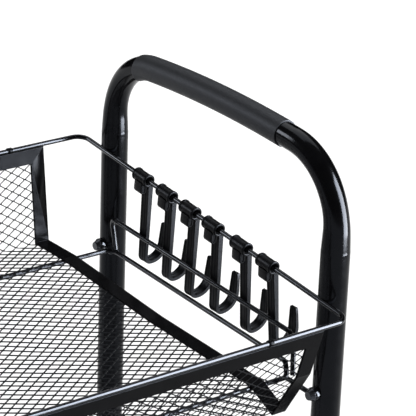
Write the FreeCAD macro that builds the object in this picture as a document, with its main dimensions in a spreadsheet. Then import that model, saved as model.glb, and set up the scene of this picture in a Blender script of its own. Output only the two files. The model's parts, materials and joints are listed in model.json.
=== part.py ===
"""Rolling utility cart: two tube end frames, three mesh trays on wire frames, clip-on hooks and casters.

Millimetres, +Z up. The origin is on the floor under the middle of the cart. +X runs along its length, to
the end that carries the hooks, and +Y runs to its back. Each tray's rim falls towards the front.
"""

import FreeCAD
import Part
import math
import os

import Sketcher
from FreeCAD import Placement, Rotation, Vector

DIMENSIONS = {
    # end frames
    "leg_span_x": 430.0,
    "leg_span_y": 285.0,
    "leg_radius": 11.0,
    "leg_wall": 1.4,
    "leg_foot_z": 72.0,
    "neck_low": 26.0,
    "neck_high": 38.0,
    "neck_radius": 10.1,
    "handle_rise": 98.2,
    "handle_arch": 3.4,
    "handle_bend": 56.0,
    "handle_radius": 9.55,
    "handle_wall": 1.2,
    "handle_foot": 16.0,
    "grip_radius": 10.4,
    "grip_front": 78.0,
    "grip_back": 106.0,
    # tiers: height of each rim's middle
    "tier_top": 740.0,
    "tier_middle": 475.0,
    "tier_bottom": 210.0,
    # wires
    "wire_radius": 2.0,
    "rim_half_x": 204.0,
    "rim_half_y": 174.0,
    "rim_fall": 0.08,
    "rim_corner": 10.0,
    # mesh tray: section points, from the rim's middle
    "tray_length": 344.6,
    "tray_skew": 2.674,
    "mesh_half": 0.5,
    "binding_half": 0.9,
    "binding_lip": 0.6,
    "binding_width": 12.0,
    "back_top_y": 173.6,
    "back_top_z": 11.3,
    "back_low_y": 165.0,
    "back_low_z": -69.4,
    "back_rest_y": 126.0,
    "back_rest_z": -69.4,
    "floor_mid_y": 10.0,
    "floor_mid_z": -79.0,
    "front_rest_y": -112.5,
    "front_rest_z": -83.3,
    "front_low_y": -138.0,
    "front_low_z": -96.0,
    "front_bow_y": -162.5,
    "front_bow_z": -55.0,
    "front_top_y": -173.9,
    "front_top_z": -16.9,
    # floor frame and end rails, from the rim's middle
    "frame_back_y": 127.5,
    "frame_back_z": -72.4,
    "frame_back_corner": 9.0,
    "frame_step_y": -106.0,
    "frame_step_z": -76.3,
    "frame_front_x": 201.0,
    "frame_front_y": -112.0,
    "frame_front_z": -86.3,
    "frame_front_corner": 5.0,
    "rail_back_foot_x": 204.0,
    "rail_back_foot_y": 122.0,
    "rail_back_foot_z": -70.2,
    "rail_back_x": 202.0,
    "rail_back_y": 125.6,
    "rail_back_z": -43.4,
    "rail_bow_x": 202.0,
    "rail_bow_y": 15.0,
    "rail_bow_z": -45.9,
    "rail_front_x": 209.5,
    "rail_front_y": -107.1,
    "rail_front_z": -54.4,
    "rail_front_foot_x": 205.6,
    "rail_front_foot_y": -113.3,
    "rail_front_foot_z": -85.2,
    "rail_back_corner": 5.0,
    "rail_bow_corner": 300.0,
    "rail_front_corner": 10.0,
    # screws and lugs that hold a tray to the legs
    "screw_radius": 2.5,
    "screw_head_radius": 5.2,
    "screw_head_height": 4.2,
    "screw_length": 8.0,
    "lug_eye_radius": 5.6,
    "lug_thickness": 3.0,
    "screw_front_z": -87.5,
    "screw_back_z": -73.6,
    "clip_x": 133.0,
    "clip_length": 4.0,
    # hooks
    "hook_ring_radius": 5.4,
    "hook_bore_radius": 2.06,
    "hook_ring_length": 17.5,
    "hook_half_width": 4.8,
    "hook_back_face": 2.3,
    "hook_root": 5.0,
    "hook_thickness": 3.2,
    "hook_drop": 75.2,
    "hook_reach": 25.0,
    "hook_heel_radius": 6.3,
    "hook_toe_radius": 16.0,
    "hook_tip_z": -43.6,
    "hook_tip_side": 3.0,
    "hook_lug_in": 5.3,
    "hook_lug_out": 0.3,
    "hook_lug_drop": 12.6,
    "hook_lug_front": 6.0,
    "hook_lug_back": 4.5,
    "hook_rest_gap": 0.3,
    "hook_lean": -0.8,
    # casters
    "wheel_radius": 25.0,
    "wheel_core_radius": 18.0,
    "wheel_half": 9.0,
    "trail": 20.0,
    "axle_radius": 3.0,
    "axle_head_radius": 5.0,
    "axle_head": 2.0,
    "wheel_bore": 3.06,
    "fork_half": 13.0,
    "fork_inner_half": 10.4,
    "crown_low": 52.9,
    "crown_high": 57.1,
    "pin_radius": 4.0,
    "pin_bore": 4.06,
    "rivet_radius": 6.2,
    "rivet_low": 50.6,
    "race_gap": 0.3,
    "race_radius": 12.5,
    "stem_radius": 5.0,
    "stem_top": 104.0,
    "socket_flange": 3.0,
    "socket_top": 106.0,
    "pedal_pivot_x": 37.4,
    "pedal_pivot_z": 48.2,
    "pedal_pin_radius": 2.2,
    "pedal_pin_bore": 2.28,
    "pedal_barrel_radius": 3.2,
    "pedal_half": 8.5,
    "pedal_tab_x": 58.0,
    "pedal_tab_low": 48.6,
    "pedal_tab_high": 51.6,
}

TIERS = ("top", "middle", "bottom")
ENDS = {"right": 1, "left": -1}
SIDES = {"front": -1, "back": 1}
HOOK_PLACES = (85.2, 52.4, 21.0, -9.6, -45.6, -78.2)
ALONG_X = Rotation(Vector(0, 1, 0), 90)
ALONG_Y = Rotation(Vector(1, 0, 0), -90)

os.makedirs("parts", exist_ok=True)
doc = FreeCAD.newDocument("rolling_utility_cart")
dims = doc.addObject("Spreadsheet::Sheet", "Dims")
for row, (alias, value) in enumerate(DIMENSIONS.items(), start=1):
    dims.set(f"A{row}", str(value))
    dims.setAlias(f"A{row}", alias)
doc.recompute()
sub_parts = []
floor_frames = {}


def size(alias):
    """The sheet's value for one driving dimension."""
    return float(dims.get(alias))


def keep(shape, label):
    """Marks a document object as a finished sub-part, whose label names its file."""
    shape.Label = label
    sub_parts.append(shape)
    return shape


def bind(thing, **expressions):
    """Binds properties to expressions; Base_x stands for Placement.Base.x."""
    for name, expression in expressions.items():
        path = name.replace("Base_", "Placement.Base.")
        thing.setExpression(path, str(expression))
    return thing


def placed(thing, at, turn=None):
    """Puts a primitive at three expressions, turned if need be."""
    if turn is not None:
        thing.Placement = Placement(Vector(), turn)
    return bind(thing, Base_x=at[0], Base_y=at[1], Base_z=at[2])


def block(name, at, length, width, height, turn=None):
    made = bind(doc.addObject("Part::Box", name), Length=length, Width=width, Height=height)
    return placed(made, at, turn)


def rod(name, radius, height, at, turn=None):
    made = bind(doc.addObject("Part::Cylinder", name), Radius=radius, Height=height)
    return placed(made, at, turn)


def cone(name, low, high, height, at, turn=None):
    made = bind(doc.addObject("Part::Cone", name), Radius1=low, Radius2=high, Height=height)
    return placed(made, at, turn)


def fuse(name, *pieces):
    made = doc.addObject("Part::MultiFuse", name)
    made.Shapes = list(pieces)
    return made


def cut(name, base, *tools):
    """base less the tools, one after another."""
    made = base
    for number, tool in enumerate(tools, start=1):
        step = doc.addObject("Part::Cut", f"{name}_{number}")
        step.Base = made
        step.Tool = tool
        made = step
    return made


def common(name, base, tool):
    made = doc.addObject("Part::Common", name)
    made.Base = base
    made.Tool = tool
    return made


def group(name, *pieces):
    """Separate, identical solids that share one node."""
    made = doc.addObject("Part::Compound", name)
    made.Links = list(pieces)
    return made


# ---------------------------------------------------------------- bent wires and tubes


def bent_path(points, radii, closed=False):
    """A wire through the points, with each corner rounded by a tangent arc of its own radius."""
    corners = []
    count = len(points)
    for number, point in enumerate(points):
        at = Vector(*point)
        if not closed and number in (0, count - 1):
            corners.append((at, None, at))
            continue
        before = (Vector(*points[number - 1]) - at).normalize()
        after = (Vector(*points[(number + 1) % count]) - at).normalize()
        half_turn = before.getAngle(after) / 2
        reach = radii[number] / math.tan(half_turn)
        inward = (before + after).normalize()
        middle = at + inward * (radii[number] / math.sin(half_turn) - radii[number])
        corners.append((at + before * reach, middle, at + after * reach))
    edges = []
    for number, (enter, middle, leave) in enumerate(corners):
        if middle is not None:
            edges.append(Part.Arc(enter, middle, leave).toShape())
        if closed or number < count - 1:
            edges.append(Part.LineSegment(leave, corners[(number + 1) % count][0]).toShape())
    return Part.Wire(edges)


def round_bar(name, path, radius_expression, place=None):
    """A round bar swept along a path of lines and tangent arcs."""
    spine = doc.addObject("Part::Feature", name + "_path")
    spine.Shape = path
    first = path.Edges[0]
    start = first.valueAt(first.FirstParameter)
    heading = first.tangentAt(first.FirstParameter)
    ring = bind(doc.addObject("Part::Circle", name + "_ring"), Radius=radius_expression)
    ring.Placement = Placement(start, Rotation(Vector(0, 0, 1), heading))
    made = doc.addObject("Part::Sweep", name + "_bar")
    made.Sections = [ring]
    made.Spine = (spine, [f"Edge{number}" for number in range(1, len(path.Edges) + 1)])
    made.Solid = True
    made.Frenet = False
    if place is not None:
        made.Placement = place
    return made


def handle_path(side_x, foot_z):
    """Up from one leg, round the bend, over the arched bar and down to the other leg."""
    half = size("leg_span_y") / 2
    bend = size("handle_bend")
    crown = size("tier_top") + size("handle_rise")
    arch = size("handle_arch")
    slope = 0.0
    for _ in range(20):
        reach = half - bend * (1 - math.sin(slope))
        slope = 2 * math.atan(arch / reach)
    bend_y = half - bend
    bend_z = crown - arch - bend * math.cos(slope)

    def on_bend(side, angle):
        return Vector(side_x, side * (bend_y + bend * math.cos(angle)), bend_z + bend * math.sin(angle))

    top_angle = math.pi / 2 - slope
    edges = [Part.LineSegment(Vector(side_x, half, foot_z), on_bend(1, 0)).toShape()]
    edges.append(Part.Arc(on_bend(1, 0), on_bend(1, top_angle / 2), on_bend(1, top_angle)).toShape())
    edges.append(Part.Arc(on_bend(1, top_angle), Vector(side_x, 0, crown), on_bend(-1, top_angle)).toShape())
    edges.append(Part.Arc(on_bend(-1, top_angle), on_bend(-1, top_angle / 2), on_bend(-1, 0)).toShape())
    edges.append(Part.LineSegment(on_bend(-1, 0), Vector(side_x, -half, foot_z)).toShape())
    return Part.Wire(edges)


def make_handle(end, sign):
    """The bent tube that joins two legs, and the soft sleeve over its bar."""
    side_x = sign * size("leg_span_x") / 2
    path = handle_path(side_x, size("tier_top") + size("handle_foot"))
    outside = round_bar(f"handle_{end}_outside", path, "Dims.handle_radius")
    inside = round_bar(f"handle_{end}_inside", path, "Dims.handle_radius - Dims.handle_wall")
    keep(cut(f"handle_{end}", outside, inside), f"handle_tube_{end}")
    sleeve = round_bar(f"sleeve_{end}_outside", path, "Dims.grip_radius")
    bore = round_bar(f"sleeve_{end}_bore", path, "Dims.handle_radius")
    span = block(
        f"sleeve_{end}_span",
        (f"{side_x} - 20", "-Dims.grip_front", "Dims.tier_top"),
        "40",
        "Dims.grip_front + Dims.grip_back",
        "Dims.handle_rise + 30",
    )
    keep(common(f"grip_{end}", cut(f"sleeve_{end}", sleeve, bore), span), f"handle_grip_{end}")


# ---------------------------------------------------------------- legs


def make_leg(end, sign_x, side, sign_y):
    """A straight tube, necked at its top on to the handle, with seats for rims and holes for screws."""
    name = f"leg_{end}_{side}"
    at_x = f"{sign_x} * Dims.leg_span_x / 2"
    at_y = f"{sign_y} * Dims.leg_span_y / 2"
    tall = "Dims.tier_top + Dims.neck_low - Dims.leg_foot_z"
    foot = (at_x, at_y, "Dims.leg_foot_z")
    shaft = rod(name + "_shaft", "Dims.leg_radius", tall, foot)
    neck = cone(
        name + "_neck",
        "Dims.leg_radius",
        "Dims.neck_radius",
        "Dims.neck_high - Dims.neck_low",
        (at_x, at_y, "Dims.tier_top + Dims.neck_low"),
    )
    bore = rod(name + "_bore", "Dims.leg_radius - Dims.leg_wall", "Dims.tier_top", foot)
    tools = [bore]
    screw_z = f"Dims.screw_{side}_z"
    for tier in TIERS:
        seat_turn = Rotation(Vector(1, 0, 0), math.degrees(math.atan(size("rim_fall"))) - 90)
        seat_at = (
            f"{sign_x} * Dims.rim_half_x",
            f"{at_y} - 20",
            f"Dims.tier_{tier} + Dims.rim_fall * ({at_y} - 20)",
        )
        tools.append(rod(f"{name}_seat_{tier}", "Dims.wire_radius", "40", seat_at, seat_turn))
        hole_x = "Dims.rim_half_x - 1" if sign_x > 0 else "-Dims.rim_half_x - 7"
        hole_at = (hole_x, at_y, f"Dims.tier_{tier} + {screw_z}")
        tools.append(rod(f"{name}_hole_{tier}", "Dims.screw_radius", "8", hole_at, ALONG_X))
    keep(cut(name, fuse(name + "_solid", shaft, neck), *tools), name)


# ---------------------------------------------------------------- trays


def thick_outline(points, half):
    """A closed outline, half to each side of a bent line, with mitred corners."""
    left = []
    right = []
    for number, (y, z) in enumerate(points):
        headings = []
        if number > 0:
            headings.append((y - points[number - 1][0], z - points[number - 1][1]))
        if number < len(points) - 1:
            headings.append((points[number + 1][0] - y, points[number + 1][1] - z))
        normals = [(-dz / math.hypot(dy, dz), dy / math.hypot(dy, dz)) for dy, dz in headings]
        mean_y = sum(n[0] for n in normals) / len(normals)
        mean_z = sum(n[1] for n in normals) / len(normals)
        stretch = half / (mean_y**2 + mean_z**2)
        left.append(Vector(0, y + mean_y * stretch, z + mean_z * stretch))
        right.append(Vector(0, y - mean_y * stretch, z - mean_z * stretch))
    return left + right[::-1]


def tray_line(trim):
    """The tray's section from its back edge to its front edge, each cut back by trim."""
    back = ("back_top", "back_low", "back_rest", "floor_mid")
    front = ("front_rest", "front_low", "front_bow", "front_top")
    points = [(size(name + "_y"), size(name + "_z")) for name in back + front]

    def shifted(end, inner):
        length = math.hypot(inner[0] - end[0], inner[1] - end[1])
        share = trim / length
        return (end[0] + (inner[0] - end[0]) * share, end[1] + (inner[1] - end[1]) * share)

    first = shifted(points[0], points[1])
    last = shifted(points[-1], points[-2])
    return [first] + points[1:-1] + [last]


def tray_panel(name, tier, half, trim, length):
    """The section, thick by twice half, drawn out along X and trimmed square to the skewed ends."""
    outline = thick_outline(tray_line(trim), half)
    section = doc.addObject("Part::Feature", name + "_section")
    section.Shape = Part.Face(Part.makePolygon(outline + outline[:1]))
    drawn = doc.addObject("Part::Extrusion", name + "_drawn")
    drawn.Base = section
    drawn.DirMode = "Custom"
    drawn.Dir = Vector(1, 0, 0)
    drawn.Symmetric = True
    drawn.Solid = True
    drawn.setExpression("LengthFwd", "Dims.tray_length + 80")
    drawn.setExpression("Placement.Base.z", f"Dims.tier_{tier}")
    box = doc.addObject("Part::Box", name + "_trim")
    bind(box, Length=length, Width="800", Height="300")
    turn = Rotation(Vector(0, 0, 1), size("tray_skew"))
    half_length = size("tray_length") / 2 + (size("binding_lip") if trim < 0 else 0)
    if trim > 0:
        half_length = size("tray_length") / 2 - size("binding_width")
    corner = turn.multVec(Vector(-half_length, -400, 0))
    box.Placement = Placement(Vector(corner.x, corner.y, size(f"tier_{tier}") - 150), turn)
    return common(name, drawn, box)


def make_tray(tier):
    """The folded mesh sheet and the strip that binds its edges."""
    mesh = tray_panel(f"mesh_{tier}", tier, size("mesh_half"), 0, "Dims.tray_length")
    keep(mesh, f"tray_mesh_{tier}")
    lip = size("binding_lip")
    strip = tray_panel(
        f"strip_{tier}", tier, size("binding_half"), -lip, "Dims.tray_length + 2 * Dims.binding_lip"
    )
    window = tray_panel(
        f"window_{tier}",
        tier,
        size("binding_half") + 2,
        size("binding_width"),
        "Dims.tray_length - 2 * Dims.binding_width",
    )
    slot = tray_panel(f"slot_{tier}", tier, size("mesh_half"), 0, "Dims.tray_length")
    keep(cut(f"binding_{tier}", strip, window, slot), f"tray_binding_{tier}")


def make_rim(tier):
    """The closed rim wire that the tray hangs from."""
    fall = math.atan(size("rim_fall"))
    x = size("rim_half_x")
    y = size("rim_half_y") / math.cos(fall)
    corners = [(x, y, 0), (-x, y, 0), (-x, -y, 0), (x, -y, 0)]
    path = bent_path(corners, [size("rim_corner")] * 4, closed=True)
    tilt = Rotation(Vector(1, 0, 0), math.degrees(fall))
    path.Placement = Placement(Vector(0, 0, size(f"tier_{tier}")), tilt)
    keep(round_bar(f"rim_{tier}", path, "Dims.wire_radius"), f"rim_wire_{tier}")


def make_floor_frame(tier):
    """The closed wire frame under the tray, and a bent rail that stands on it at each end."""
    level = size(f"tier_{tier}")
    back = (size("rim_half_x"), size("frame_back_y"), level + size("frame_back_z"))
    step = (size("rim_half_x"), size("frame_step_y"), level + size("frame_step_z"))
    front = (size("frame_front_x"), size("frame_front_y"), level + size("frame_front_z"))
    right = [back, step, front]
    left = [(-x, y, z) for x, y, z in right[::-1]]
    front_corner = size("frame_front_corner")
    bends = [size("frame_back_corner"), front_corner, front_corner]
    path = bent_path(right + left, bends + bends[::-1], closed=True)
    floor_frames[tier] = round_bar(f"floor_{tier}", path, "Dims.wire_radius")
    keep(floor_frames[tier], f"floor_frame_{tier}")
    rails = []
    for end, sign_x in ENDS.items():
        corners = []
        for place in ("back_foot", "back", "bow", "front", "front_foot"):
            across = sign_x * size(f"rail_{place}_x")
            corners.append((across, size(f"rail_{place}_y"), level + size(f"rail_{place}_z")))
        bends = [0, size("rail_back_corner"), size("rail_bow_corner"), size("rail_front_corner"), 0]
        path = bent_path(corners, bends)
        rails.append(round_bar(f"rail_{tier}_{end}", path, "Dims.wire_radius"))
    keep(group(f"rails_{tier}", *rails), f"end_rails_{tier}")


def make_fixings():
    """At each leg a lug on the floor wires, a screw through its eye, and clips that hold tray to rim."""
    lugs = []
    screws = []
    clips = []
    for tier in TIERS:
        for end, sign_x in ENDS.items():
            for side, sign_y in SIDES.items():
                name = f"{tier}_{end}_{side}"
                level = f"Dims.tier_{tier} + Dims.screw_{side}_z"
                eye_y = f"{sign_y} * Dims.leg_span_y / 2"
                eye_low = "Dims.rim_half_x - Dims.lug_thickness" if sign_x > 0 else "-Dims.rim_half_x"
                eye_at = (eye_low, eye_y, level)
                eye = rod(f"eye_{name}", "Dims.lug_eye_radius", "Dims.lug_thickness", eye_at, ALONG_X)
                hole = rod(f"eye_hole_{name}", "Dims.screw_radius", "Dims.lug_thickness", eye_at, ALONG_X)
                arm_x = f"{sign_x} * (Dims.rim_half_x - Dims.wire_radius - 0.5)"
                arm_end = "Dims.leg_span_y / 2 - Dims.lug_eye_radius + 0.5"
                if sign_y > 0:
                    arm_start = "(Dims.frame_back_y - 3)"
                    arm_at = (arm_x, arm_start, level)
                else:
                    arm_start = "(-Dims.frame_front_y - 1)"
                    arm_at = (arm_x, f"-({arm_end})", level)
                arm_length = f"{arm_end} - {arm_start}"
                arm = rod(f"arm_{name}", "Dims.wire_radius", arm_length, arm_at, ALONG_Y)
                lug = fuse(f"lug_solid_{name}", eye, arm)
                lugs.append(cut(f"lug_{name}", lug, hole, floor_frames[tier]))
                if sign_x > 0:
                    shank_at = ("Dims.rim_half_x - Dims.lug_thickness", eye_y, level)
                    head_turn = Rotation(Vector(0, 1, 0), -90)
                    head_at = shank_at
                else:
                    shank_at = (
                        "-Dims.rim_half_x + Dims.lug_thickness - Dims.screw_length",
                        eye_y,
                        level,
                    )
                    head_turn = ALONG_X
                    head_at = ("-Dims.rim_half_x + Dims.lug_thickness", eye_y, level)
                shank = rod(f"shank_{name}", "Dims.screw_radius", "Dims.screw_length", shank_at, ALONG_X)
                head = cone(
                    f"head_{name}",
                    "Dims.screw_head_radius",
                    "Dims.screw_head_radius - 1.8",
                    "Dims.screw_head_height",
                    head_at,
                    head_turn,
                )
                screws.append(fuse(f"screw_{name}", shank, head))
                clips.append(make_clip(name, tier, sign_x, sign_y))
    keep(group("lugs", *lugs), "tray_lugs")
    keep(group("screws", *screws), "tray_screws")
    keep(group("clips", *clips), "rim_clips")


def make_clip(name, tier, sign_x, sign_y):
    """A short sleeve of strip round the rim wire."""
    low_x = f"{sign_x} * Dims.clip_x - Dims.clip_length / 2"
    level = f"Dims.tier_{tier} + {sign_y} * Dims.rim_fall * Dims.rim_half_y"
    at = (low_x, f"{sign_y} * Dims.rim_half_y", level)
    sleeve = rod(f"clip_sleeve_{name}", "Dims.wire_radius + 0.7", "Dims.clip_length", at, ALONG_X)
    bore = rod(f"clip_bore_{name}", "Dims.wire_radius", "Dims.clip_length", at, ALONG_X)
    below = block(
        f"clip_below_{name}",
        (low_x, f"{sign_y} * Dims.rim_half_y - 5", f"{level} - 10 - Dims.wire_radius + 0.4"),
        "Dims.clip_length",
        "10",
        "10",
    )
    return cut(f"clip_{name}", sleeve, bore, below)


# ---------------------------------------------------------------- hooks


def rail_at(along):
    """Where the right end rail's middle passes a place along Y: X, and height from the rim's middle."""
    near = "front" if along < size("rail_bow_y") else "back"
    share = (along - size("rail_bow_y")) / (size(f"rail_{near}_y") - size("rail_bow_y"))
    return [
        size(f"rail_bow_{axis}") + share * (size(f"rail_{near}_{axis}") - size(f"rail_bow_{axis}"))
        for axis in ("x", "z")
    ]


def hook_outline():
    """The hook's side: a shank that thins downwards, a tight heel, a wide toe and an upright tip."""
    back = size("hook_back_face")
    thick = size("hook_thickness")
    floor = -size("hook_drop")
    reach = size("hook_reach")
    heel = size("hook_heel_radius")
    toe = size("hook_toe_radius")
    tip = size("hook_tip_z")

    def point(x, z):
        return Vector(x, 0, z)

    def heel_arc(radius):
        x, z = back + heel, floor + heel
        middle = radius * math.sqrt(0.5)
        return Part.Arc(point(x - radius, z), point(x - middle, z - middle), point(x, z - radius))

    def toe_arc(radius):
        x, z = reach - toe, floor + toe
        middle = radius * math.sqrt(0.5)
        return Part.Arc(point(x, z - radius), point(x + middle, z - middle), point(x + radius, z))

    corners = [
        (point(back, 0), point(back, floor + heel)),
        (point(back + heel, floor), point(reach - toe, floor)),
        (point(reach, floor + toe), point(reach, tip)),
        (point(reach, tip), point(reach - thick + 0.6, tip)),
        (point(reach - thick + 0.6, tip), point(reach - thick, floor + toe)),
        (point(reach - toe, floor + thick), point(back + heel, floor + thick)),
        (point(back + thick, floor + heel), point(back + size("hook_root"), -8)),
        (point(back + size("hook_root"), -8), point(back + 1, 0)),
        (point(back + 1, 0), point(back, 0)),
    ]
    edges = [Part.LineSegment(*ends).toShape() for ends in corners]
    edges += [heel_arc(heel).toShape(), heel_arc(heel - thick).toShape()]
    edges += [toe_arc(toe).toShape(), toe_arc(toe - thick).toShape()]
    return Part.Face(Part.Wire(Part.__sortEdges__(edges)))


def make_hook(number, along):
    """A clip ring and its lug on the end wire of the top rim, and a flat hook that rests on the end rail."""
    name = f"hook_{number}"
    fall = math.degrees(math.atan(size("rim_fall")))
    front_end = ("0", "-Dims.hook_ring_length / 2", "0")
    ring = rod(name + "_ring", "Dims.hook_ring_radius", "Dims.hook_ring_length", front_end, ALONG_Y)
    bore = rod(name + "_bore", "Dims.hook_bore_radius", "Dims.hook_ring_length", front_end, ALONG_Y)
    side = doc.addObject("Part::Feature", name + "_side")
    side.Shape = hook_outline()
    flat = doc.addObject("Part::Extrusion", name + "_flat")
    flat.Base = side
    flat.DirMode = "Custom"
    flat.Dir = Vector(0, 1, 0)
    flat.Symmetric = True
    flat.Solid = True
    bind(flat, LengthFwd="2 * Dims.hook_half_width")
    edge = doc.addObject("Part::Feature", name + "_edge")
    low = size("hook_toe_radius") - size("hook_drop")
    wide = size("hook_half_width")
    trim = [(wide, low), (size("hook_tip_side"), size("hook_tip_z")), (wide, size("hook_tip_z"))]
    edge.Shape = Part.Face(Part.makePolygon([Vector(0, y, z) for y, z in trim + trim[:1]]))
    taper = doc.addObject("Part::Extrusion", name + "_taper")
    taper.Base = edge
    taper.DirMode = "Custom"
    taper.Dir = Vector(1, 0, 0)
    taper.Solid = True
    bind(taper, LengthFwd="40", Base_x="Dims.hook_reach - Dims.hook_thickness - 1")
    arm = cut(name + "_arm", flat, taper)
    arm.Placement = Placement(Vector(), Rotation(Vector(1, 0, 0), size("hook_lean") - fall))
    lug_width = "(Dims.hook_lug_in + Dims.hook_lug_out)"
    lug_length = "Dims.hook_lug_front + Dims.hook_lug_back"
    lug = block(
        name + "_lug",
        ("-Dims.hook_lug_in", "-Dims.hook_lug_front", f"-Dims.hook_lug_drop + {lug_width} / 2"),
        lug_width,
        lug_length,
        f"Dims.hook_lug_drop - {lug_width} / 2",
    )
    lug_end = rod(
        name + "_lug_end",
        f"{lug_width} / 2",
        lug_length,
        (
            f"-Dims.hook_lug_in + {lug_width} / 2",
            "-Dims.hook_lug_front",
            f"-Dims.hook_lug_drop + {lug_width} / 2",
        ),
        ALONG_Y,
    )
    mouth = block(
        name + "_mouth",
        ("Dims.hook_lug_out", "-15", "-20"),
        "Dims.hook_back_face - Dims.hook_lug_out",
        "30",
        "20",
    )
    made = cut(name, fuse(name + "_solid", ring, arm, lug, lug_end), bore, mouth)
    rail_x, rail_z = rail_at(along)
    rise = size("rim_fall") * along
    rest_x = rail_x + size("wire_radius") + size("hook_rest_gap")
    shift = rest_x - size("rim_half_x") - size("hook_back_face")
    swing = math.degrees(math.asin(shift / (rise - rail_z)))
    turn = Rotation(Vector(1, 0, 0), fall).multiply(Rotation(Vector(0, -1, 0), swing))
    made.Placement = Placement(Vector(size("rim_half_x"), along, size("tier_top") + rise), turn)
    keep(made, name)


# ---------------------------------------------------------------- casters


def outline_sketch(body, name, plane, corners):
    """A closed outline on one of the body's planes; each corner's two places are bound to expressions."""
    sketch = body.newObject("Sketcher::SketchObject", name)
    planes = [item for item in body.Origin.OriginFeatures if item.Role == plane]
    sketch.AttachmentSupport = (planes[0], "")
    sketch.MapMode = "FlatFace"
    count = len(corners)
    starts = []
    for across, up in corners:
        starts.append(Vector(evaluate(across), evaluate(up), 0))
    for number in range(count):
        sketch.addGeometry(Part.LineSegment(starts[number], starts[(number + 1) % count]), False)
    for number in range(count):
        sketch.addConstraint(Sketcher.Constraint("Coincident", number, 2, (number + 1) % count, 1))
    for number, (across, up) in enumerate(corners):
        at = starts[number]
        for kind, expression, value in (("DistanceX", across, at.x), ("DistanceY", up, at.y)):
            index = sketch.addConstraint(Sketcher.Constraint(kind, -1, 1, number, 1, value))
            sketch.setExpression(f"Constraints[{index}]", expression)
    return sketch


def evaluate(expression):
    """An expression's present value."""
    return float(dims.evalExpression(expression))


def place_body(body, at, turn=0.0):
    body.Placement = Placement(Vector(), Rotation(Vector(0, 0, 1), turn))
    bind(body, Base_x=at[0], Base_y=at[1], Base_z=at[2])
    return body


def turned_body(name, corners, at, turn=0.0, axis="V_Axis"):
    """A solid of revolution of an outline on the XZ plane."""
    body = doc.addObject("PartDesign::Body", name)
    sketch = outline_sketch(body, name + "_outline", "XZ_Plane", corners)
    made = body.newObject("PartDesign::Revolution", name + "_turned")
    made.Profile = sketch
    made.ReferenceAxis = (sketch, [axis])
    made.Angle = 360
    sketch.Visibility = False
    return place_body(body, at, turn)


def make_stem(name, at):
    """The caster's fixed pin: rivet head, swivel pin, race flange and the stem that goes up the leg."""
    race_low = "Dims.crown_high + Dims.race_gap"
    foot = "Dims.leg_foot_z - Dims.socket_flange"
    corners = [
        ("0", "Dims.rivet_low"),
        ("Dims.rivet_radius", "Dims.rivet_low"),
        ("Dims.rivet_radius", "Dims.crown_low - Dims.race_gap"),
        ("Dims.pin_radius", "Dims.crown_low - Dims.race_gap"),
        ("Dims.pin_radius", race_low),
        ("Dims.race_radius", race_low),
        ("Dims.race_radius", f"{race_low} + 3"),
        ("Dims.stem_radius + 3", f"{race_low} + 5"),
        ("Dims.stem_radius + 3", foot),
        ("Dims.stem_radius", foot),
        ("Dims.stem_radius", "Dims.stem_top"),
        ("0", "Dims.stem_top"),
    ]
    keep(turned_body(name, corners, at), name)


def make_socket(name, at):
    """The plastic bush in a leg's lower end."""
    foot = "Dims.leg_foot_z - Dims.socket_flange"
    plug = "Dims.leg_radius - Dims.leg_wall"
    corners = [
        ("Dims.stem_radius", foot),
        ("Dims.leg_radius", foot),
        ("Dims.leg_radius", "Dims.leg_foot_z"),
        (plug, "Dims.leg_foot_z"),
        (plug, "Dims.socket_top"),
        ("0", "Dims.socket_top"),
        ("0", "Dims.stem_top"),
        ("Dims.stem_radius", "Dims.stem_top"),
    ]
    return turned_body(name, corners, at)


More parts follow.
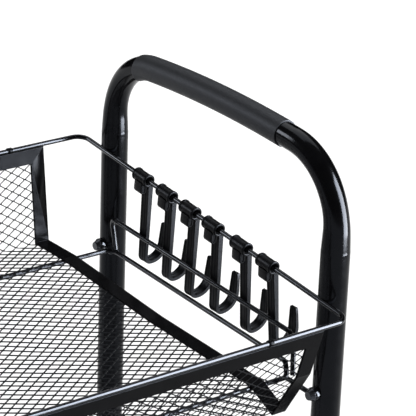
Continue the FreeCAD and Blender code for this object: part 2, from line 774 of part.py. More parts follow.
def make_fork(name, at, turn, braked):
    """The crown that turns on the pin, and the two arms that hold the axle."""
    body = doc.addObject("PartDesign::Body", name + "_body")
    side = [
        ("-14", "Dims.crown_high - 1.2"),
        ("-12.8", "Dims.crown_high"),
        ("Dims.trail + 2", "Dims.crown_high"),
        ("Dims.trail + 8", "Dims.crown_high - 4"),
        ("Dims.trail + 8", "Dims.wheel_radius + 8"),
        ("Dims.trail + 6.5", "Dims.wheel_radius - 3"),
        ("Dims.trail + 3", "Dims.wheel_radius - 6.5"),
        ("Dims.trail - 3", "Dims.wheel_radius - 6.5"),
        ("Dims.trail - 6.5", "Dims.wheel_radius - 3"),
        ("-4", "Dims.wheel_radius + 16"),
        ("-14", "Dims.crown_low - 2"),
    ]
    if braked:
        side[3:5] = [
            ("Dims.pedal_pivot_x + 1", "Dims.pedal_pivot_z + 4.6"),
            ("Dims.pedal_pivot_x + 4.5", "Dims.pedal_pivot_z + 1"),
            ("Dims.pedal_pivot_x + 3.5", "Dims.pedal_pivot_z - 3.5"),
            ("Dims.trail + 9", "Dims.wheel_radius + 11"),
        ]
    outer = body.newObject("PartDesign::Pad", name + "_plate")
    outer.Profile = outline_sketch(body, name + "_side", "XZ_Plane", side)
    outer.SideType = "Symmetric"
    outer.setExpression("Length", "2 * Dims.fork_half")
    far = "Dims.trail + 60"
    below = [("-30", "0"), (far, "0"), (far, "Dims.crown_low"), ("-30", "Dims.crown_low")]
    inner = body.newObject("PartDesign::Pocket", name + "_gap")
    inner.Profile = outline_sketch(body, name + "_below", "XZ_Plane", below)
    inner.SideType = "Symmetric"
    inner.setExpression("Length", "2 * Dims.fork_inner_half")
    place_body(body, at, turn)
    turned = Rotation(Vector(0, 0, 1), turn)
    sign = round(math.cos(math.radians(turn)))
    tools = [
        rod(name + "_pin_hole", "Dims.pin_bore", "10", (at[0], at[1], "Dims.crown_low - 2")),
        rod(
            name + "_axle_hole",
            "Dims.axle_radius",
            "60",
            (f"{at[0]} + {sign} * Dims.trail", f"{at[1]} - 30", "Dims.wheel_radius"),
            ALONG_Y,
        ),
    ]
    if braked:
        pivot_at = (f"{at[0]} + {sign} * Dims.pedal_pivot_x", f"{at[1]} - 30", "Dims.pedal_pivot_z")
        tools.append(rod(name + "_pedal_hole", "Dims.pedal_pin_bore", "60", pivot_at, ALONG_Y))
    crown_disc = rod(
        name + "_corner",
        "Dims.fork_half + 1",
        "20",
        (at[0], at[1], "Dims.crown_low - 8"),
    )
    crown_end = block(
        name + "_crown_end",
        (f"{at[0]} - 40" if sign > 0 else at[0], f"{at[1]} - 20", "Dims.crown_low - 10"),
        "40",
        "40",
        "20",
    )
    tools.append(cut(name + "_rounding", crown_end, crown_disc))
    keep(cut(name + "_bored", body, *tools), name)


def make_axle(name, at, sign):
    """The riveted axle through both arms."""
    centre_x = f"{at[0]} + {sign} * Dims.trail"
    half = "(Dims.fork_half + Dims.axle_head)"
    pin_at = (centre_x, f"{at[1]} - {half}", "Dims.wheel_radius")
    pin = rod(name + "_pin", "Dims.axle_radius", f"2 * {half}", pin_at, ALONG_Y)
    heads = []
    for side, low in (("a", f"{at[1]} - {half}"), ("b", f"{at[1]} + Dims.fork_half")):
        head_at = (centre_x, low, "Dims.wheel_radius")
        heads.append(rod(f"{name}_head_{side}", "Dims.axle_head_radius", "Dims.axle_head", head_at, ALONG_Y))
    keep(fuse(name, pin, *heads), name)


def make_wheel(name, tyre_name, at, sign):
    """The plastic wheel core and the rubber tyre round it, turned about the axle."""
    centre = (f"{at[0]} + {sign} * Dims.trail", at[1], "Dims.wheel_radius")
    hub = "Dims.wheel_half + 0.6"
    seat = "Dims.wheel_half - 0.8"
    core_half = [
        ("Dims.wheel_bore", hub),
        ("Dims.wheel_bore + 3.5", hub),
        ("Dims.wheel_bore + 4", "3"),
        ("Dims.wheel_core_radius - 4", "3"),
        ("Dims.wheel_core_radius - 3.4", seat),
        ("Dims.wheel_core_radius", seat),
    ]
    tyre_half = [
        ("Dims.wheel_core_radius", seat),
        ("Dims.wheel_radius - 3.5", "Dims.wheel_half"),
        ("Dims.wheel_radius - 1.6", "Dims.wheel_half - 0.9"),
        ("Dims.wheel_radius - 0.4", "Dims.wheel_half - 2.8"),
        ("Dims.wheel_radius", "Dims.wheel_half - 5"),
    ]
    for label, half in ((name, core_half), (tyre_name, tyre_half)):
        corners = [(radius, f"-({across})") for radius, across in half]
        corners += [(radius, across) for radius, across in half[::-1]]
        wheel = turned_body(label, corners, ("0", "0", "0"))
        wheel.Placement = Placement(Vector(), ALONG_Y)
        bind(wheel, Base_x=centre[0], Base_y=centre[1], Base_z=centre[2])
        keep(wheel, label)


def make_pedal(name, at, sign):
    """The brake pedal: a barrel on two short pins, a tab to step on and a nose that meets the tyre."""
    turn = 0.0 if sign > 0 else 180.0
    body = doc.addObject("PartDesign::Body", name + "_body")
    side = [
        ("Dims.pedal_pivot_x - 2.9", "Dims.pedal_pivot_z + 1.4"),
        ("Dims.pedal_pivot_x - 1.6", "Dims.pedal_pivot_z + 3.6"),
        ("Dims.pedal_pivot_x + 6", "Dims.pedal_tab_high + 0.4"),
        ("Dims.pedal_tab_x - 2", "Dims.pedal_tab_high"),
        ("Dims.pedal_tab_x", "Dims.pedal_tab_high - 1.2"),
        ("Dims.pedal_tab_x", "Dims.pedal_tab_low"),
        ("Dims.pedal_pivot_x + 7", "Dims.pedal_tab_low - 1"),
        ("Dims.pedal_pivot_x + 2.9", "Dims.pedal_pivot_z - 2.0"),
        ("Dims.pedal_pivot_x + 1.2", "Dims.pedal_pivot_z - 3.2"),
        ("Dims.pedal_pivot_x - 0.5", "Dims.pedal_pivot_z - 3.65"),
        ("Dims.pedal_pivot_x - 1.3", "Dims.pedal_pivot_z - 2.9"),
    ]
    plate = body.newObject("PartDesign::Pad", name + "_plate")
    plate.Profile = outline_sketch(body, name + "_side", "XZ_Plane", side)
    plate.SideType = "Symmetric"
    plate.setExpression("Length", "2 * Dims.pedal_half")
    place_body(body, (at[0], at[1], "0"), turn)
    pin_at = (
        f"{at[0]} + {sign} * Dims.pedal_pivot_x",
        f"{at[1]} - Dims.fork_half",
        "Dims.pedal_pivot_z",
    )
    barrel_at = (pin_at[0], f"{at[1]} - Dims.pedal_half", pin_at[2])
    pin = rod(name + "_pin", "Dims.pedal_pin_radius", "2 * Dims.fork_half", pin_at, ALONG_Y)
    barrel = rod(name + "_barrel", "Dims.pedal_barrel_radius", "2 * Dims.pedal_half", barrel_at, ALONG_Y)
    keep(fuse(name, body, pin, barrel), name)


def make_casters():
    sockets = []
    for end, sign in ENDS.items():
        for side, sign_y in SIDES.items():
            place = f"{end}_{side}"
            at = (f"{sign} * Dims.leg_span_x / 2", f"{sign_y} * Dims.leg_span_y / 2", "0")
            turn = 0.0 if sign > 0 else 180.0
            braked = side == "front"
            sockets.append(make_socket(f"socket_{place}", at))
            make_stem(f"caster_stem_{place}", at)
            make_fork(f"caster_fork_{place}", at, turn, braked)
            make_axle(f"caster_axle_{place}", at, sign)
            make_wheel(f"caster_wheel_{place}", f"caster_tyre_{place}", at, sign)
            if braked:
                make_pedal(f"brake_pedal_{place}", at, sign)
    keep(group("sockets", *sockets), "leg_sockets")


for end_name, end_sign in ENDS.items():
    make_handle(end_name, end_sign)
    for side_name, side_sign in SIDES.items():
        make_leg(end_name, end_sign, side_name, side_sign)
for tier_name in TIERS:
    make_rim(tier_name)
    make_tray(tier_name)
    make_floor_frame(tier_name)
make_fixings()
for hook_number, hook_along in enumerate(HOOK_PLACES, start=1):
    make_hook(hook_number, hook_along)
make_casters()
doc.recompute()

for item in doc.Objects:
    if "Invalid" in item.State or "Error" in item.State:
        raise RuntimeError(f"{item.Label} failed: {item.State}")
for item in sub_parts:
    if item.Shape.isNull() or not item.Shape.isValid():
        raise RuntimeError(f"{item.Label} has no valid shape")
for item in sub_parts:
    item.Shape.exportStep(f"parts/{item.Label}.step")
print(f"{len(sub_parts)} sub-parts written")
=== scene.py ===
"""Looks of the rolling utility cart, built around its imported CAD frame. Metres, +Z up."""

import json
import math

import bmesh
import bpy
import numpy as np
from mathutils import Matrix, Vector


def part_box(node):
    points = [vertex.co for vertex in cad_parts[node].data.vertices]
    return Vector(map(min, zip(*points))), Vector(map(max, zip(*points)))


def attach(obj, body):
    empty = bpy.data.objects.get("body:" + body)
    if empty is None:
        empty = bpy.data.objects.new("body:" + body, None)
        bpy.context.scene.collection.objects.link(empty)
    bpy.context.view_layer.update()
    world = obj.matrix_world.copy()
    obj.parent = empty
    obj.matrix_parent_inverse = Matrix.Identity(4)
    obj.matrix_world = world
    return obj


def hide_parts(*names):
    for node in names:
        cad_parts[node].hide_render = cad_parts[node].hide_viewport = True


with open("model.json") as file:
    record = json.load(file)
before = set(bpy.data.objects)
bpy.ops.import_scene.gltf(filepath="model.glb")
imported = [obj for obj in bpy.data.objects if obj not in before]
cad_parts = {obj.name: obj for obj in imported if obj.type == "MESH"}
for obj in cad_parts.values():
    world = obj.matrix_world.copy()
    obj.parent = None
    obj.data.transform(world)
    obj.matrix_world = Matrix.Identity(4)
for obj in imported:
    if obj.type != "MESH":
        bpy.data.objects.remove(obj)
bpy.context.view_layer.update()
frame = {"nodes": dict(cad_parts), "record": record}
nodes = frame["nodes"]
joints = {joint["name"]: joint for joint in frame["record"]["behaviour"]["joints"]}

TIERS = ("top", "middle", "bottom")
CORNERS = ("right_front", "right_back", "left_front", "left_back")
HOOKS = [f"hook_{number}" for number in range(1, 7)]
MM = 0.001


# ---------------------------------------------------------------- materials


# tints of the reflections: a cool black coat, and plain plastic, zinc and floor
COOL = (0.76, 0.84, 1.0, 1.0)
PLAIN = (0.95, 0.97, 1.0, 1.0)
BUMP_HEIGHT = 0.4 * MM


def finish_material(
    name, dark, light, roughness, spread, grain, grain_size, bump_size, bump, specular,
    metallic=0.0, sheen=0.0, tint=COOL,
):
    """A surface whose colour and roughness drift with fine noise, and a fine bump.

    The colour runs from dark to light over the middle share, grain, of a noise of scale grain_size, and the
    roughness varies by spread either way. The bump is a noise of scale bump_size.
    """
    made = bpy.data.materials.new(name)
    made.use_nodes = True
    tree = made.node_tree
    shader = tree.nodes["Principled BSDF"]
    where = tree.nodes.new("ShaderNodeTexCoord")

    def noise(scale, detail):
        node = tree.nodes.new("ShaderNodeTexNoise")
        node.inputs["Scale"].default_value = scale
        node.inputs["Detail"].default_value = detail
        tree.links.new(where.outputs["Object"], node.inputs["Vector"])
        return node

    drift = noise(grain_size, 4.0)
    ramp = tree.nodes.new("ShaderNodeValToRGB")
    ramp.color_ramp.elements[0].position = 0.5 - grain / 2
    ramp.color_ramp.elements[1].position = 0.5 + grain / 2
    ramp.color_ramp.elements[0].color = (*dark, 1)
    ramp.color_ramp.elements[1].color = (*light, 1)
    tree.links.new(drift.outputs["Fac"], ramp.inputs["Fac"])
    tree.links.new(ramp.outputs["Color"], shader.inputs["Base Color"])
    rough = tree.nodes.new("ShaderNodeMapRange")
    rough.inputs["From Min"].default_value = 0.3
    rough.inputs["From Max"].default_value = 0.7
    rough.inputs["To Min"].default_value = roughness - spread
    rough.inputs["To Max"].default_value = roughness + spread
    tree.links.new(noise(grain_size * 2.3, 3.0).outputs["Fac"], rough.inputs["Value"])
    tree.links.new(rough.outputs["Result"], shader.inputs["Roughness"])
    relief = tree.nodes.new("ShaderNodeBump")
    relief.inputs["Strength"].default_value = bump
    relief.inputs["Distance"].default_value = BUMP_HEIGHT
    tree.links.new(noise(bump_size, 2.0).outputs["Fac"], relief.inputs["Height"])
    tree.links.new(relief.outputs["Normal"], shader.inputs["Normal"])
    shader.inputs["Metallic"].default_value = metallic
    shader.inputs["Specular IOR Level"].default_value = specular
    shader.inputs["Specular Tint"].default_value = tint
    shader.inputs["Sheen Weight"].default_value = sheen
    return made


def grey(value, blue=1.14):
    """A grey with a little blue in it."""
    return (value, value, value * blue)


def shade(name, dark, light, *numbers, **extras):
    """A finish between two greys."""
    return finish_material(name, grey(dark), grey(light), *numbers, **extras)


FINISHES = {
    "tube_black": shade("gloss_black_coat", 0.002, 0.004, 0.15, 0.03, 0.4, 60, 420, 0.03, 0.12),
    "wire_black": shade("wire_black_coat", 0.002, 0.004, 0.16, 0.03, 0.4, 160, 700, 0.05, 0.24),
    "mesh_black": shade("mesh_black_coat", 0.002, 0.005, 0.5, 0.05, 0.5, 220, 1500, 0.1, 0.12),
    "strip_black": shade("strip_black_coat", 0.003, 0.006, 0.2, 0.03, 0.5, 60, 260, 0.03, 0.035),
    "screw_black": shade("screw_black", 0.006, 0.01, 0.25, 0.05, 0.5, 300, 1200, 0.08, 0.5),
    "grip_black": shade("grip_black", 0.004, 0.008, 0.52, 0.04, 0.6, 240, 2600, 0.2, 0.32, sheen=0.04),
    "hook_black": shade("hook_black", 0.002, 0.005, 0.34, 0.05, 0.5, 260, 1800, 0.12, 0.08),
    "bush_black": shade("bush_black", 0.012, 0.02, 0.5, 0.05, 0.5, 200, 1500, 0.15, 0.4, tint=PLAIN),
    "caster_black": shade("caster_black", 0.013, 0.022, 0.42, 0.06, 0.5, 150, 1800, 0.15, 0.45, tint=PLAIN),
    "wheel_grey": shade("wheel_grey", 0.045, 0.07, 0.45, 0.06, 0.5, 150, 1500, 0.15, 0.45, tint=PLAIN),
    "tyre": shade("tyre_grey", 0.02, 0.035, 0.66, 0.06, 0.6, 180, 1400, 0.3, 0.4, tint=PLAIN),
    "steel": shade("zinc_steel", 0.42, 0.58, 0.3, 0.08, 0.5, 90, 900, 0.08, 0.5, metallic=1.0, tint=PLAIN),
}
for node in nodes.values():
    for place in node.material_slots:
        place.material = FINISHES[place.material.name.split(".")[0]]


# ---------------------------------------------------------------- mesh sheets


# corners of the CAD sheet nearer than this along Y are on one bend
SAME_BEND = 4 * MM
# width of the bend's rounding, each side of it
BEND_REACH = 2.5 * MM
# share by which a hole's pointed ends are cut off, and how its six corners tilt the strands
BLUNT = 0.12
TILT = (-0.4, -1, -0.4, 0.4, 1, 0.4)


def read_section(sheet):
    """The tray's bent line, back edge first, as (y, z, lowest x, highest x) from its CAD sheet's corners."""
    spots = [v.co for v in sheet.data.vertices]
    corners = sorted({(round(spot.y, 5), round(spot.z, 5), round(spot.x, 5)) for spot in spots}, reverse=True)
    groups = []
    for y, z, x in corners:
        if groups and groups[-1][-1][0] - y < SAME_BEND:
            groups[-1].append((y, z, x))
        else:
            groups.append([(y, z, x)])
    line = []
    for group in groups:
        y, z = (sum(corner[axis] for corner in group) / len(group) for axis in (0, 1))
        line.append((y, z, min(corner[2] for corner in group), max(corner[2] for corner in group)))
    return np.array(line)


def diamond_sheet(name, section, pitch_x, pitch_s, strand, half, twist):
    """A bent sheet of expanded metal: diamond holes, flat bonds between them and slightly twisted strands."""
    runs = np.hypot(np.diff(section[:, 0]), np.diff(section[:, 1]))
    reach = np.concatenate([[0], np.cumsum(runs)])
    columns = round((section[0, 3] - section[0, 2]) / pitch_x)
    rows = round(reach[-1] / pitch_s)
    headings = np.stack([np.diff(section[:, 0]) / runs, np.diff(section[:, 1]) / runs], axis=1)
    normals = np.stack([-headings[:, 1], headings[:, 0]], axis=1)
    at_corner = np.vstack([normals[:1], (normals[1:] + normals[:-1]) / 2, normals[-1:]])

    def place(u, s, h):
        """Points of the flat sheet (u from 0 to 1 across, s along, h above) on the bent one."""
        y, z, low, high = (np.interp(s, reach, section[:, axis]) for axis in range(4))
        run = np.clip(np.searchsorted(reach, s) - 1, 0, len(runs) - 1)
        near = np.minimum(s - reach[run], reach[run + 1] - s) / BEND_REACH
        side = np.where(s - reach[run] < reach[run + 1] - s, run, run + 1)
        blend = np.clip(near, 0, 1)[:, None]
        normal = at_corner[side] * (1 - blend) + normals[run] * blend
        return np.stack([low + (high - low) * u, y + normal[:, 0] * h, z + normal[:, 1] * h], axis=1)

    # a diamond is 1 x 1 in these units; its hole is smaller all round by half a strand
    tall, wide = reach[-1] / rows, (section[0, 3] - section[0, 2]) / columns
    edge = math.hypot(wide, tall)
    tip = 0.5 * (1 - strand / (wide * tall / edge))
    blunt, notch = tip * (1 - BLUNT), tip * BLUNT
    outer = [(0.5, 0), (0, 0.5), (-0.5, 0), (0, -0.5)]
    inner = [(blunt, notch), (0, tip), (-blunt, notch), (-blunt, -notch), (0, -tip), (blunt, -notch)]
    flat, found, faces = [], {}, []

    def corner(c, s, h):
        key = (round(c * 2), round(s * 2), round(h * 1e6))
        if key not in found:
            found[key] = len(flat)
            flat.append((c, s, h))
        return found[key]

    for row in range(1, 2 * rows):
        for column in range(1 + (row + 1) % 2, 2 * columns, 2):
            c, s = column / 2, row / 2
            rings = []
            for top in (1, -1):
                shared = [corner(c + x, s + y, top * half) for x, y in outer]
                start = len(flat)
                flat.extend((c + x, s + y, top * half + lift * twist) for (x, y), lift in zip(inner, TILT))
                rings.append((shared, list(range(start, start + 6))))
            for (shared, hole), top in zip(rings, (1, -1)):
                right, back, left, front = shared
                made = [
                    (right, back, hole[1], hole[0]),
                    (back, left, hole[2], hole[1]),
                    (left, hole[3], hole[2]),
                    (left, front, hole[4], hole[3]),
                    (front, right, hole[5], hole[4]),
                    (right, hole[0], hole[5]),
                ]
                faces.extend(made if top < 0 else [face[::-1] for face in made])
            up, down = rings[0][1], rings[1][1]
            for number in range(6):
                after = (number + 1) % 6
                faces.append((up[number], down[number], down[after], up[after]))
    flat = np.array(flat)
    points = place(flat[:, 0] / columns, flat[:, 1] * tall, flat[:, 2])
    mesh = bpy.data.meshes.new(name)
    mesh.from_pydata(points.tolist(), [], faces)
    # the ragged border, hidden under the strip, is closed between its two faces
    work = bmesh.new()
    work.from_mesh(mesh)
    rims = [rim for rim in work.edges if rim.is_boundary]
    bmesh.ops.bridge_loops(work, edges=rims)
    bmesh.ops.recalc_face_normals(work, faces=work.faces)
    work.to_mesh(mesh)
    work.free()
    made = bpy.data.objects.new(name, mesh)
    bpy.context.scene.collection.objects.link(made)
    mesh.materials.append(FINISHES["mesh_black"])
    return made


PITCH_X, PITCH_S = 12.3 * MM, 8.0 * MM
STRAND, HALF_THICK, TWIST = 0.8 * MM, 0.26 * MM, 0.2 * MM
sections = {tier: read_section(nodes[f"tray_mesh_{tier}"]) for tier in TIERS}

for tier in TIERS:
    woven = diamond_sheet(
        f"diamond_mesh_{tier}", sections[tier], PITCH_X, PITCH_S, STRAND, HALF_THICK, TWIST
    )
    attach(woven, "cart")
    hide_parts(f"tray_mesh_{tier}")


# ---------------------------------------------------------------- lofted pieces


def loft(faces, points, loops, wrap=False):
    """Joins equal loops of points into a skin, which has flat ends or wraps round to its first loop."""
    start = len(points)
    count = len(loops[0])
    for loop in loops:
        points.extend(tuple(point) for point in loop)
    for number in range(len(loops) if wrap else len(loops) - 1):
        low = start + number * count
        high = start + (number + 1) % len(loops) * count
        for place in range(count):
            after = (place + 1) % count
            faces.append((low + place, low + after, high + after, high + place))
    if not wrap:
        faces.append(tuple(start + place for place in range(count))[::-1])
        faces.append(tuple(start + (len(loops) - 1) * count + place for place in range(count)))


def lathe(profile, steps):
    """Loops round the Y axis, one for each (height, radius) of a closed profile."""
    turns = [2 * math.pi * step / steps for step in range(steps)]
    return [
        [Vector((radius * math.cos(turn), height, radius * math.sin(turn))) for turn in turns]
        for height, radius in profile
    ]


def make_piece(name, points, faces, body, slot, sharp=40):
    """A piece with the slot's finish that rides on a body, smooth but for edges sharper than an angle."""
    mesh = bpy.data.meshes.new(name)
    mesh.from_pydata([tuple(point) for point in points], [], faces)
    work = bmesh.new()
    work.from_mesh(mesh)
    bmesh.ops.recalc_face_normals(work, faces=work.faces)
    for edge in work.edges:
        edge.smooth = len(edge.link_faces) == 2 and edge.calc_face_angle() < math.radians(sharp)
    for face in work.faces:
        face.smooth = True
    work.to_mesh(mesh)
    work.free()
    mesh.materials.append(FINISHES[slot])
    made = bpy.data.objects.new(name, mesh)
    bpy.context.scene.collection.objects.link(made)
    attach(made, body)
    return made


# ---------------------------------------------------------------- folded edges of the strips


HEM_RADIUS = 0.95 * MM
HEM_SIDES = 12
ASKEW = Vector((0.3, 0.2, 0.93))

for tier in TIERS:
    path = [Vector((high, y, z)) for y, z, low, high in sections[tier]]
    path += [Vector((low, y, z)) for y, z, low, high in sections[tier][::-1]]
    count = len(path)
    headings = [(path[(number + 1) % count] - path[number]).normalized() for number in range(count)]
    points, faces = [], []
    for number, heading in enumerate(headings):
        start = len(points)
        after = (number + 1) % count
        side = heading.cross(ASKEW).normalized()
        up = heading.cross(side)
        for middle, beyond in ((path[number], headings[number - 1]), (path[after], headings[after])):
            mitre = (heading + beyond).normalized()
            for step in range(HEM_SIDES):
                angle = 2 * math.pi * step / HEM_SIDES
                spoke = (side * math.cos(angle) + up * math.sin(angle)) * HEM_RADIUS
                points.append(middle + spoke - heading * (spoke.dot(mitre) / heading.dot(mitre)))
        low = [start + step for step in range(HEM_SIDES)]
        high = [corner + HEM_SIDES for corner in low]
        for step in range(HEM_SIDES):
            ahead = (step + 1) % HEM_SIDES
            faces.append((low[step], low[ahead], high[ahead], high[step]))
        faces.append(tuple(low[::-1]))
        faces.append(tuple(high))
    make_piece(f"hem_{tier}", points, faces, "cart", "strip_black", sharp=50)


# ---------------------------------------------------------------- hooks

# in millimetres, from the wire's middle: X away from the tray, Y along the wire
RING_RADIUS = 5.4
RING_HALF = 8.75
BORE = 2.12
MOUTH = 3.7
BACK = 2.3
ROOT, THIN = 5.0, 3.2
DROP, REACH = 75.2, 25.0
HEEL, TOE = 6.3, 16.0
SHANK_TOP = -3.4
GROOVE = 0.42
TIP_Z, TIP_SIDE, HALF_WIDTH = -43.6, 3.0, 4.8
LUG_IN, LUG_OUT, LUG_DROP, LUG_FRONT, LUG_BACK = -5.3, 0.3, -12.6, -6.0, 4.5
LUG_TOP = -2.5
LEAN = math.radians(-0.8)
FALL = math.atan(0.08)


def ring_profile():
    """The clip ring's closed profile along Y: rounded lips, a waist, and a mouth wider than its bore."""
    outside = [(8.0, 3.5), (8.55, MOUTH), (RING_HALF, 4.1), (RING_HALF, 4.85), (8.55, 5.2)]
    outside += [(8.2, RING_RADIUS), (6.9, RING_RADIUS), (6.6, 5.28), (6.4, 5.02)]
    inside = [(6.6, BORE), (-6.6, BORE)]
    return outside + [(-y, radius) for y, radius in outside[::-1]] + inside[::-1]


def strap_section(width, back_width, inner, outer):
    """One cross-section of the hook's strap: two broad faces, each with raised edges and a low middle rib."""
    half = [(-1, 0.3), (-0.92, 0.08), (-0.8, 0.0), (-0.66, 0.0)]
    half += [(-0.6, GROOVE), (-0.16, GROOVE), (-0.11, 0.12)]
    face = half + [(-y, inset) for y, inset in half[::-1]]
    thickness = (inner - outer).length
    heading = (inner - outer) / thickness
    points = []
    for side, sign in ((outer, 1), (inner, -1)):
        for y, inset in face:
            y *= sign
            span = back_width if y > 0 else width
            at = side + heading * inset * sign
            points.append(Vector((at.x, y * span, at.z)))
    return points


def strap_loops():
    """The strap's sections from its root, round the heel and toe, to its tip."""
    loops = []

    def station(outer, inner, width=HALF_WIDTH, back_width=HALF_WIDTH):
        inside, outside = (Vector((spot[0], 0, spot[1])) for spot in (inner, outer))
        loops.append(strap_section(width, back_width, inside, outside))

    def turn(x, z, radius, first, steps):
        """A quarter turn about (x, z) from the angle first, its own first station left out."""
        for step in range(1, steps + 1):
            angle = first + math.pi / 2 * step / steps
            across, up = math.cos(angle), math.sin(angle)
            inside = radius - THIN
            station((x + radius * across, z + radius * up), (x + inside * across, z + inside * up))

    low = -DROP + HEEL
    for step in range(7):
        share = step / 6
        z = SHANK_TOP + (low - SHANK_TOP) * share
        station((BACK, z), (BACK + ROOT + (THIN - ROOT) * share, z))
    turn(BACK + HEEL, low, HEEL, math.pi, 10)
    turn(REACH - TOE, -DROP + TOE, TOE, 3 * math.pi / 2, 14)
    toe_end = -DROP + TOE
    for share in (0.3, 0.6, 0.86, 0.94, 0.98, 1.0):
        z = toe_end + (TIP_Z - toe_end) * share
        taper = HALF_WIDTH + (TIP_SIDE - HALF_WIDTH) * share
        rounding = {0.94: 0.25, 0.98: 0.7, 1.0: 1.3}.get(share, 0.0)
        closing = {0.98: 0.25, 1.0: 0.7}.get(share, 0.0)
        outer = (REACH - closing, z)
        inner = (REACH - THIN + 0.6 * share + closing, z)
        station(outer, inner, HALF_WIDTH - rounding, taper - rounding)
    return loops


def lug_loops():
    """The rounded lug under the ring, whose front end has a raised rim."""
    middle = (LUG_IN + LUG_OUT) / 2
    radius = (LUG_OUT - LUG_IN) / 2

    def loop(y, inset):
        size = radius - inset
        points = [(middle - size, y, LUG_TOP - inset), (middle + size, y, LUG_TOP - inset)]
        for step in range(13):
            angle = -math.pi * step / 12
            points.append((middle + size * math.cos(angle), y, LUG_DROP + radius + size * math.sin(angle)))
        return points

    front = [(0.7, 1.5), (0.05, 1.25), (0.0, 1.0), (0.1, 0.45), (0.5, 0.1), (1.0, 0.0)]
    back = [(-0.8, 0.0), (-0.25, 0.2), (0.0, 0.7)]
    ends = [(LUG_FRONT + y, inset) for y, inset in front] + [(LUG_BACK + y, inset) for y, inset in back]
    return [loop(y, inset) for y, inset in ends]


def swing_of(node, at):
    """How far the CAD hook is turned about its wire at rest, found from the back face of its shank."""
    spots = [Matrix.Rotation(-FALL, 3, "X") @ (v.co - at) for v in node.data.vertices]
    spots = [spot for spot in spots if spot.z < -20 * MM]
    low, high = math.radians(-8), math.radians(10)
    for _ in range(40):
        guess = (low + high) / 2
        nearest = min(spot.x * math.cos(guess) + spot.z * math.sin(guess) for spot in spots)
        if nearest > BACK * MM:
            low = guess
        else:
            high = guess
    return (low + high) / 2


for hook in HOOKS:
    at = Vector(joints[f"{hook}_swing"]["pos_m"])
    swing = swing_of(nodes[hook], at)
    whole = Matrix.Rotation(FALL, 3, "X") @ Matrix.Rotation(-swing, 3, "Y")
    arm = whole @ Matrix.Rotation(LEAN - FALL, 3, "X")
    points, faces = [], []
    loft(faces, points, lathe(ring_profile(), 36), wrap=True)
    loft(faces, points, lug_loops())
    turned = [at + whole @ (Vector(point) * MM) for point in points]
    strap, strap_faces = [], []
    loft(strap_faces, strap, strap_loops())
    faces += [tuple(len(turned) + corner for corner in face) for face in strap_faces]
    turned += [at + arm @ (Vector(point) * MM) for point in strap]
    clip = make_piece(f"{hook}_clip", turned, faces, hook, "hook_black")
    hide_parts(hook)


# ---------------------------------------------------------------- leg tops

TUBE_RADIUS = 9.55 * MM
BEND = 56.0 * MM
ARCH = 3.4 * MM
SWAGE_LOW, SWAGE_HIGH = -19 * MM, 20 * MM
SWAGE_STEPS = 32
SKIN_THICK, SKIN_PROUD = 0.25 * MM, 0.04 * MM


def swage(name, corner, end, side):
    """The skin of a leg's narrowed top, which runs on to the handle's bend with no step."""
    low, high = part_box(f"leg_{corner}")
    x, reach = (low.x + high.x) / 2, abs((low.y + high.y) / 2)
    leg_radius = (high.x - low.x) / 2
    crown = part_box(f"handle_tube_{end}")[1].z - TUBE_RADIUS
    slope = 0.0
    for _ in range(20):
        slope = 2 * math.atan(ARCH / (reach - BEND * (1 - math.sin(slope))))
    bend_z = crown - ARCH - BEND * math.cos(slope)

    def ring(along, radius):
        """A circle round the tube; along is measured from the leg's top."""
        past = max(0.0, high.z + along - bend_z)
        angle = past / BEND
        inwards = reach - BEND * (1 - math.cos(angle))
        z = min(high.z + along, bend_z) + BEND * math.sin(angle)
        loop = []
        for step in range(64):
            around = 2 * math.pi * step / 64
            out = radius * math.sin(around)
            y = side * (inwards + out * math.cos(angle))
            loop.append((x + radius * math.cos(around), y, z + out * math.sin(angle)))
        return loop

    profile = []
    for step in range(SWAGE_STEPS + 1):
        share = step / SWAGE_STEPS
        ease = share * share * (3 - 2 * share)
        radius = leg_radius + SKIN_PROUD + (TUBE_RADIUS - leg_radius) * ease
        profile.append((SWAGE_LOW + (SWAGE_HIGH - SWAGE_LOW) * share, radius))
    profile += [(along, radius - SKIN_THICK) for along, radius in profile[::-1]]
    points, faces = [], []
    loft(faces, points, [ring(along, radius) for along, radius in profile], wrap=True)
    make_piece(name, points, faces, "cart", "tube_black", sharp=60)


for corner in CORNERS:
    end, place = corner.split("_")
    swage(f"swage_{corner}", corner, end, -1 if place == "front" else 1)


# ---------------------------------------------------------------- edges of the carried-over parts


def soften(node, width, segments=2, angle=35):
    """Rounds the sharp edges of a CAD node a little, as its coating does."""
    weld = node.modifiers.new("weld", "WELD")
    weld.merge_threshold = 2e-6
    bevel = node.modifiers.new("bevel", "BEVEL")
    bevel.width = width
    bevel.segments = segments
    bevel.limit_method = "ANGLE"
    bevel.angle_limit = math.radians(angle)
    bevel.harden_normals = True
    bevel.use_clamp_overlap = True


for name, node in nodes.items():
    if name.startswith("tray_binding"):
        soften(node, 0.3 * MM)
    elif name.startswith("handle_grip"):
        soften(node, 0.45 * MM, 3)
    elif name in ("tray_screws", "rim_clips", "tray_lugs"):
        soften(node, 0.35 * MM)
    elif name.startswith(("caster_fork", "brake_pedal", "caster_wheel", "caster_stem", "caster_axle")):
        soften(node, 0.4 * MM)


# ---------------------------------------------------------------- light, floor and camera


def soft_light(name, at, towards, width, height, power, gloss_only=False):
    lamp = bpy.data.lights.new(name, "AREA")
    lamp.shape = "RECTANGLE"
    lamp.size, lamp.size_y = width, height
    lamp.energy = power
    made = bpy.data.objects.new(name, lamp)
    made.location = at
    made.rotation_euler = (Vector(towards) - Vector(at)).to_track_quat("-Z", "Y").to_euler()
    made.visible_camera = False
    made.visible_diffuse = not gloss_only
    bpy.context.scene.collection.objects.link(made)


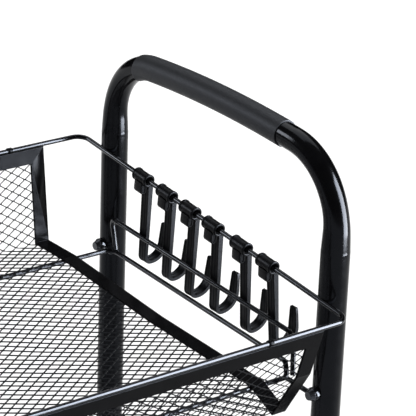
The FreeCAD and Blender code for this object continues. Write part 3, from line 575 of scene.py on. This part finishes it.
soft_light("tall_panel", (1.6, -1.8, 1.45), (0.0, 0.0, 1.45), 1.5, 2.8, 620, gloss_only=True)
soft_light("overhead", (1.3, 1.9, 3.6), (1.2, 1.6, 0.2), 3.0, 3.0, 60)
soft_light("rear", (-1.9, 2.3, 1.9), (0.2, 0, 0.74), 0.8, 1.0, 40, gloss_only=True)

world = bpy.data.worlds.new("studio")
world.use_nodes = True
world.node_tree.nodes["Background"].inputs["Color"].default_value = (1, 1, 1, 1)
world.node_tree.nodes["Background"].inputs["Strength"].default_value = 0.95
world.cycles_visibility.glossy = False
bpy.context.scene.world = world
bpy.context.scene.view_settings.view_transform = "Standard"

FLOOR = 14
floor_mesh = bpy.data.meshes.new("floor")
floor_corners = [(-FLOOR, -FLOOR, 0), (FLOOR, -FLOOR, 0), (FLOOR, FLOOR, 0), (-FLOOR, FLOOR, 0)]
floor_mesh.from_pydata(floor_corners, [], [(0, 1, 2, 3)])
floor = bpy.data.objects.new("floor", floor_mesh)
bpy.context.scene.collection.objects.link(floor)
pale, paler = grey(0.9, 1.0), grey(0.93, 1.0)
pale_floor = finish_material("pale_floor", pale, paler, 0.9, 0.05, 0.6, 3, 60, 0.02, 0.0, tint=PLAIN)
floor_mesh.materials.append(pale_floor)

YAW, PITCH, ROLL = 0.649071, 0.398244, -0.038257
LENS, SENSOR = 188.87, 36
CAMERA_AT = (-0.734406, -1.239039, 1.404746)
camera_data = bpy.data.cameras.new("camera")
camera_data.sensor_width = SENSOR
camera_data.lens = LENS
camera_data.clip_start = 0.05
camera_data.clip_end = 60
camera = bpy.data.objects.new("camera", camera_data)
bpy.context.scene.collection.objects.link(camera)
ahead = Vector((math.sin(YAW) * math.cos(PITCH), math.cos(YAW) * math.cos(PITCH), -math.sin(PITCH)))
level = Vector((math.cos(YAW), -math.sin(YAW), 0))
below = ahead.cross(level)
right = math.cos(ROLL) * level + math.sin(ROLL) * below
down = -math.sin(ROLL) * level + math.cos(ROLL) * below
turn = Matrix((right, -down, -ahead)).transposed()
camera.matrix_world = Matrix.Translation(CAMERA_AT) @ turn.to_4x4()
bpy.context.scene.camera = camera
